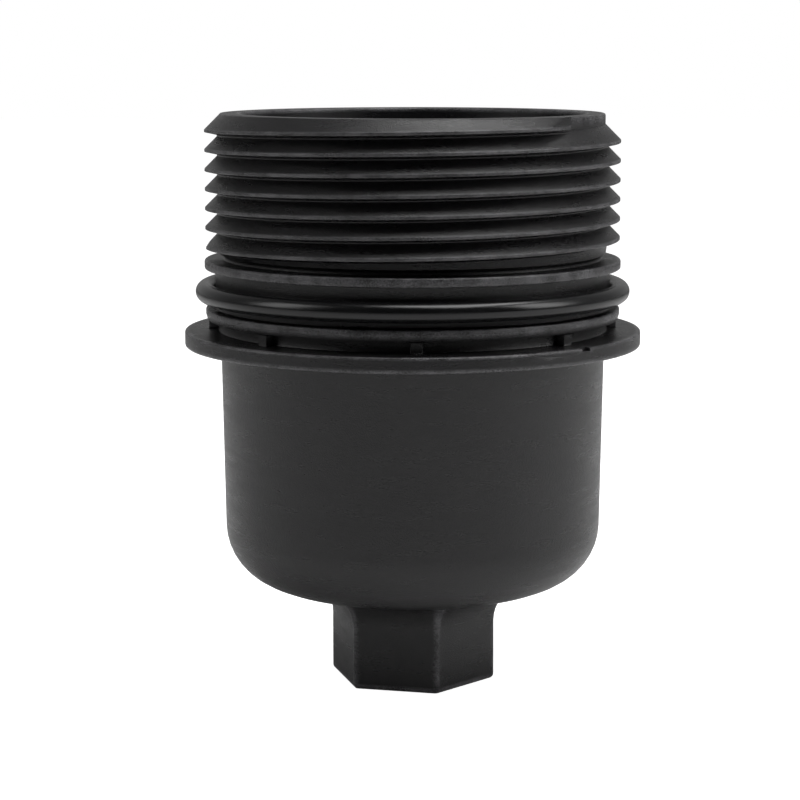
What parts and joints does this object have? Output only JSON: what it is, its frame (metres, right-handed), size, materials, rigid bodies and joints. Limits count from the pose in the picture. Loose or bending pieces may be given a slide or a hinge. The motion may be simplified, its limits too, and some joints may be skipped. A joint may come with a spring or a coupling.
{
  "type": "cartridge oil filter",
  "caption": "Cartridge oil filter: threaded housing cap with wrench hexagon and seal, holding a swivelling support core, bypass valve and lift-out pleated element.",
  "frame": {"origin": "centre of the wrench hexagon's end face, on which the part stands", "axes": "+Z along the axis, from the hexagon up to the open threaded mouth; -Y is the side that a viewer in front sees, with +X to the right"},
  "size_m": [0.0836, 0.0836, 0.105],
  "materials": {
    "cap_plastic": "fine spark-eroded glass-filled nylon",
    "seal_rubber": "satin moulded rubber",
    "core_plastic": "moulded glass-filled nylon",
    "spring_steel": "drawn spring steel",
    "seat_brass": "turned brass",
    "valve_plastic": "natural acetal",
    "filter_paper": "resin-cured filter paper",
    "clip_steel": "tinned sheet steel",
    "plate_plastic": "moulded nylon",
    "glue": "cast plastisol",
    "bead_glue": "hot-melt bead"
  },
  "bodies": {
    "cap": {"cap_body": "cap_plastic", "cap_o_ring": "seal_rubber"},
    "core": {"support_core": "core_plastic", "core_lock_ring": "spring_steel", "tip_o_ring": "seal_rubber", "bypass_seat": "seat_brass", "bypass_cage": "valve_plastic", "bypass_spring": "spring_steel"},
    "valve": {"bypass_poppet": "valve_plastic", "poppet_seal": "seal_rubber"},
    "element": {"pleat_pack": "filter_paper", "seam_clip": "clip_steel", "top_end_plate": "plate_plastic", "bottom_end_plate": "plate_plastic", "top_glue_bed": "glue", "bottom_glue_bed": "glue", "top_lip_seal": "seal_rubber", "bottom_lip_seal": "seal_rubber", "lower_spacer_bead": "bead_glue", "middle_spacer_bead": "bead_glue", "upper_spacer_bead": "bead_glue"}
  },
  "joints": [
    {"name": "core_swivel", "type": "hinge", "parent": "cap", "child": "core", "pos_m": [0, 0, 0.0216], "axis": [0, 0, 1], "continuous": true},
    {"name": "bypass_lift", "type": "slide", "parent": "core", "child": "valve", "axis": [0, 0, 1], "range_m": [0, 0.005], "stiffness_N_per_m": 1500, "springref_m": -0.005, "deforming": ["bypass_spring"]},
    {"name": "element_pull", "type": "slide", "parent": "core", "child": "element", "axis": [0, 0, 1], "range_m": [0, 0.075]}
  ]
}
